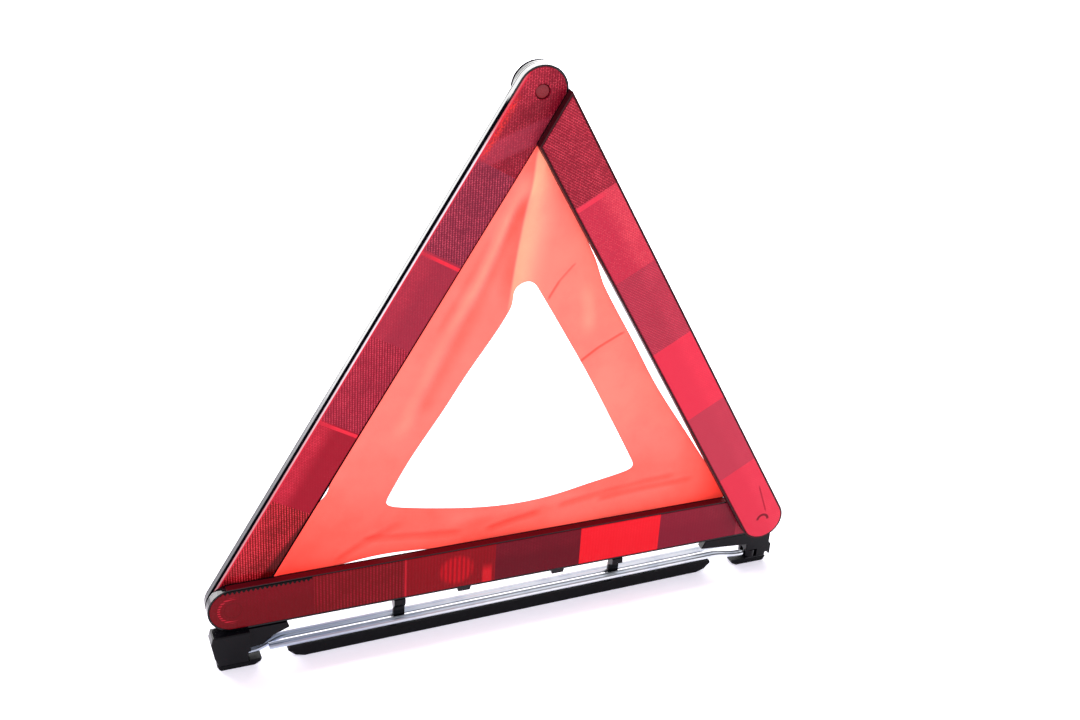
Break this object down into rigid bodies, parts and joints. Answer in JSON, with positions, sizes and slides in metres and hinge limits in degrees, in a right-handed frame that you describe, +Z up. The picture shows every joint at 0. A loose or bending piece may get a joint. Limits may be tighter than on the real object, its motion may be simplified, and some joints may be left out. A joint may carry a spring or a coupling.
{
  "type": "warning triangle",
  "caption": "Folding roadside warning triangle: three red reflector bars, a fluorescent sheet, and two wire legs folded under the base.",
  "frame": {"origin": "on the floor, at the middle of the assembly's bounding box", "axes": "+X along the base bar to the viewer's right, -Y is the side that the reflectors face, +Z up"},
  "size_m": [0.445, 0.0248, 0.4174],
  "materials": {
    "black_plastic": "satin",
    "black_rubber": "satin",
    "red_reflector": "gloss, prismatic",
    "red_plastic": "satin",
    "plated_steel": "plated",
    "chrome_wire": "bright",
    "fluorescent_cloth": "coated, fluorescent"
  },
  "bodies": {
    "base": {"base_channel": "black_plastic", "base_lens": "red_reflector", "base_back_cover": "black_plastic", "left_pivot_rivet": "plated_steel", "right_pivot_rivet": "plated_steel", "left_end_block": "black_plastic", "right_end_block": "black_plastic", "left_foot_pad": "black_rubber", "right_foot_pad": "black_rubber", "left_leg_pin": "plated_steel", "right_leg_pin": "plated_steel", "foot_rail": "black_rubber", "left_hook_clip": "black_plastic", "right_hook_clip": "black_plastic", "fluorescent_sheet": "fluorescent_cloth"},
    "left_arm": {"left_arm_channel": "black_plastic", "left_arm_lens": "red_reflector", "left_arm_back_cover": "black_plastic", "latch_stud": "red_plastic", "latch_keeper": "black_plastic"},
    "right_arm": {"right_arm_channel": "black_plastic", "right_arm_lens": "red_reflector", "right_arm_back_cover": "black_plastic"},
    "left_leg": {"left_leg_wire": "chrome_wire", "left_leg_hub": "black_plastic"},
    "right_leg": {"right_leg_wire": "chrome_wire", "right_leg_hub": "black_plastic"}
  },
  "joints": [
    {"name": "left_arm_fold", "type": "hinge", "parent": "base", "child": "left_arm", "pos_m": [-0.205, 0.00275, 0.047], "axis": [-0.004, 1, 0.007], "range_deg": [0, 59.4], "deforming": ["fluorescent_sheet"]},
    {"name": "right_arm_fold", "type": "hinge", "parent": "base", "child": "right_arm", "pos_m": [0.205, -0.01225, 0.047], "axis": [0.004, -1, 0.0069], "range_deg": [0, 60]},
    {"name": "left_leg_swing", "type": "hinge", "parent": "base", "child": "left_leg", "pos_m": [-0.205, -0.00275, 0.0088], "axis": [-0.0274, 0, 0.9996], "range_deg": [0, 90]},
    {"name": "right_leg_swing", "type": "hinge", "parent": "base", "child": "right_leg", "pos_m": [0.205, 0.00025, 0.0088], "axis": [0.0274, 0, 0.9996], "range_deg": [0, 90]}
  ],
  "couplings": [
    {"joint": "right_arm_fold", "follows": "left_arm_fold", "ratio": 1.0101}
  ]
}
